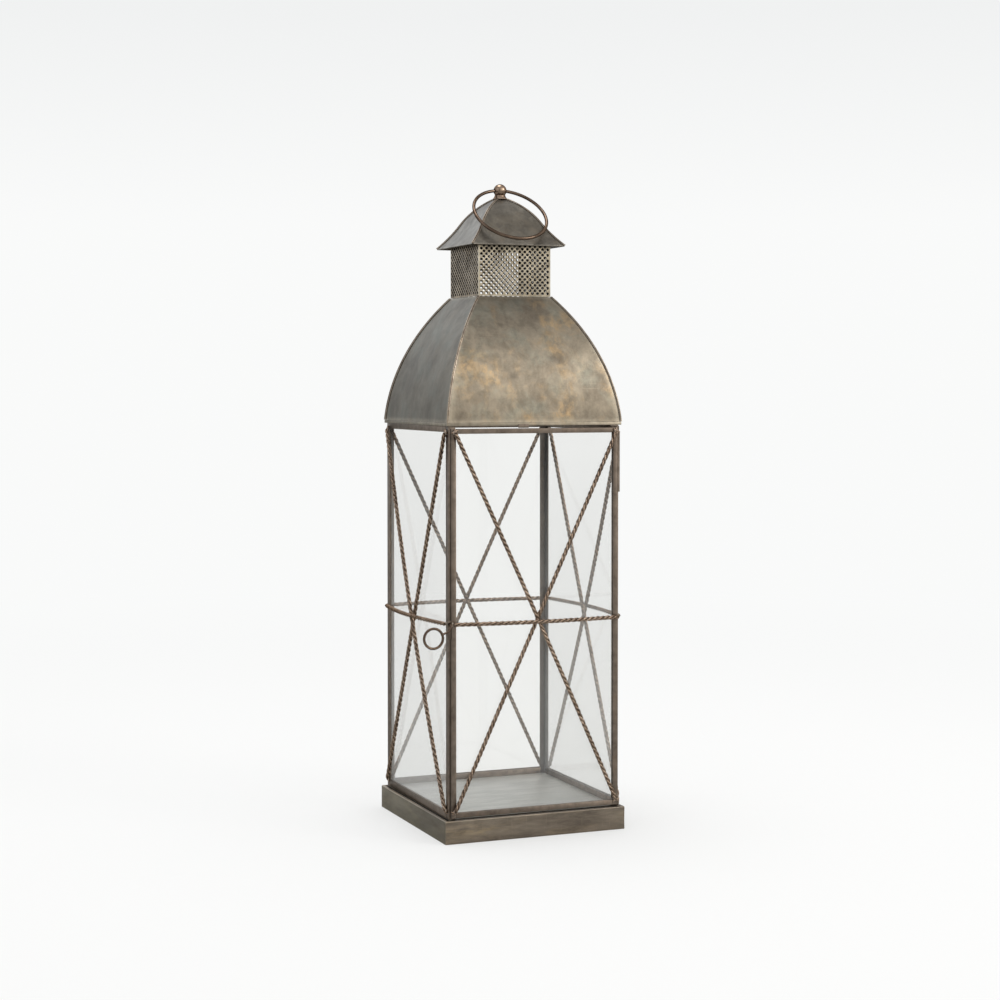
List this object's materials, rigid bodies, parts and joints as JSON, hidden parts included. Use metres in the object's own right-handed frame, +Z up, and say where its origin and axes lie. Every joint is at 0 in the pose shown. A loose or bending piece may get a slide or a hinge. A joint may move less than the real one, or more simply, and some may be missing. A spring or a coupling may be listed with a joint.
{
  "type": "candle lantern",
  "caption": "Tall square glazed candle lantern with crossed twisted-wire bars, a hinged door with a latch ring, a curved dome, a vented neck, an ogee cap and a handle ring.",
  "frame": {"origin": "centre of the base's underside", "axes": "+Z up along the lantern's axis, -Y out of the door's front, +X towards the hinged edge"},
  "size_m": [0.2433, 0.2285, 0.7099],
  "materials": {
    "plinth_brass": "aged, satin, streaked brown patina",
    "frame_brass": "aged, dark brown patina",
    "twisted_wire": "aged copper brown, rubbed bright on the high strands",
    "dome_brass": "aged, satin, mottled gold and brown",
    "vent_mesh": "perforated sheet, pale aged",
    "cap_bronze": "aged, grey brown",
    "finial_brass": "aged, polished high spots",
    "ring_copper": "aged copper brown wire",
    "floor_tin": "dull grey plate",
    "clear_glass": "clear, polished"
  },
  "bodies": {
    "lantern_body": {"base_skirt": "plinth_brass", "base_bottom_plate": "plinth_brass", "floor_plate": "floor_tin", "corner_post_front_left": "frame_brass", "corner_post_front_right": "frame_brass", "corner_post_back_right": "frame_brass", "corner_post_back_left": "frame_brass", "bottom_rail_left": "frame_brass", "bottom_rail_back": "frame_brass", "bottom_rail_right": "frame_brass", "top_rail_left": "frame_brass", "top_rail_back": "frame_brass", "top_rail_right": "frame_brass", "glass_left": "clear_glass", "glass_back": "clear_glass", "glass_right": "clear_glass", "rope_left_falling": "twisted_wire", "rope_left_rising": "twisted_wire", "rope_left_level": "twisted_wire", "rope_back_falling": "twisted_wire", "rope_back_rising": "twisted_wire", "rope_back_level": "twisted_wire", "rope_right_falling": "twisted_wire", "rope_right_rising": "twisted_wire", "rope_right_level": "twisted_wire", "dome_rim": "dome_brass", "door_stop_tab": "frame_brass", "dome_panel_front": "dome_brass", "dome_panel_right": "dome_brass", "dome_panel_back": "dome_brass", "dome_panel_left": "dome_brass", "dome_seam_front_left": "dome_brass", "dome_seam_front_right": "dome_brass", "dome_seam_back_right": "dome_brass", "dome_seam_back_left": "dome_brass", "vent_neck": "vent_mesh", "cap_panel_front": "cap_bronze", "cap_panel_right": "cap_bronze", "cap_panel_back": "cap_bronze", "cap_panel_left": "cap_bronze", "cap_seam_front_left": "cap_bronze", "cap_seam_front_right": "cap_bronze", "cap_seam_back_right": "cap_bronze", "cap_seam_back_left": "cap_bronze", "finial": "finial_brass", "hinge_pin_upper": "frame_brass", "hinge_pin_lower": "frame_brass"},
    "door": {"door_stile_latch": "frame_brass", "door_stile_hinge": "frame_brass", "door_rail_bottom": "frame_brass", "door_rail_top": "frame_brass", "door_glass": "clear_glass", "door_rope_falling": "twisted_wire", "door_rope_rising": "twisted_wire", "door_rope_level": "twisted_wire", "hinge_knuckle_upper": "frame_brass", "hinge_knuckle_lower": "frame_brass", "latch_lug": "frame_brass"},
    "latch": {"latch_ring": "ring_copper"},
    "handle": {"handle_ring": "ring_copper"}
  },
  "joints": [
    {"name": "door_hinge", "type": "hinge", "parent": "lantern_body", "child": "door", "pos_m": [0.098, -0.102, 0.0275], "axis": [0, 0, 1], "range_deg": [0, 110]},
    {"name": "latch_turn", "type": "hinge", "parent": "door", "child": "latch", "pos_m": [-0.0995, -0.1025, 0.234], "axis": [0, 1, 0], "range_deg": [0, 90]},
    {"name": "handle_swing", "type": "hinge", "parent": "lantern_body", "child": "handle", "pos_m": [0, 0, 0.7026], "axis": [-1, 0, 0], "range_deg": [0, 266]}
  ]
}
